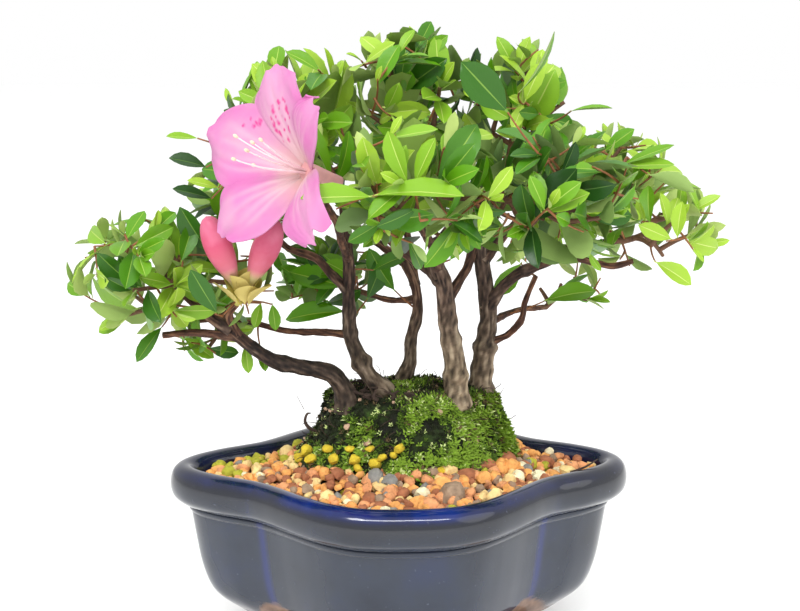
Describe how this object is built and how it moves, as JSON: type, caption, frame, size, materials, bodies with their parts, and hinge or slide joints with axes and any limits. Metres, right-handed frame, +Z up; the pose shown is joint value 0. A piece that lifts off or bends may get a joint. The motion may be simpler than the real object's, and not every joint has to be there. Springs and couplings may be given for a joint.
{
  "type": "bonsai plant",
  "caption": "Small azalea bonsai with slender stems, open flower and buds, rising from a moss mound in a lobed glazed pot on low feet.",
  "frame": {"origin": "centre of the whole plant's bounding box, at the level of the undersides of the pot's feet", "axes": "+Z up, X along the pot's long side, -Y towards the pot's front, which the open flower faces"},
  "size_m": [0.1992, 0.1576, 0.2],
  "materials": {
    "glaze": "glossy blue-black glaze",
    "clay": "bare fired clay",
    "gravel": "loose matt gravel",
    "moss": "matt moss over roots and earth",
    "bark": "rough fissured bark",
    "foliage": "satin leaves"
  },
  "bodies": {
    "root": {"pot": "glaze", "foot_front_left": "clay", "foot_front_right": "clay", "foot_back_left": "clay", "foot_back_right": "clay", "soil": "gravel", "moss_mound": "moss", "stem_low_left": "bark", "stem_left": "bark", "stem_back": "bark", "stem_centre": "bark", "stem_right": "bark", "bough_low_left": "bark", "bough_cut_stub": "bark", "bough_buds": "bark", "bough_left_twig": "bark", "bough_left": "bark", "bough_bloom": "bark", "bough_back_left": "bark", "bough_low_back": "bark", "bough_back": "bark", "bough_front": "bark", "bough_front_right": "bark", "bough_top": "bark", "bough_back_right": "bark", "bough_right": "bark", "bough_right_fork": "bark", "bough_low_right": "bark", "bough_upper_right": "bark", "bough_low_back_right": "bark", "foliage_far_left": "foliage", "foliage_low_left": "foliage", "foliage_buds": "foliage", "foliage_left": "foliage", "foliage_top_left": "foliage", "foliage_top": "foliage", "foliage_top_right": "foliage", "foliage_right": "foliage", "foliage_far_right": "foliage", "foliage_bloom": "foliage", "foliage_front": "foliage", "foliage_front_right": "foliage", "foliage_back_left": "foliage", "foliage_back": "foliage", "foliage_back_right": "foliage", "foliage_low_back": "foliage", "foliage_low_back_right": "foliage"}
  },
  "joints": []
}
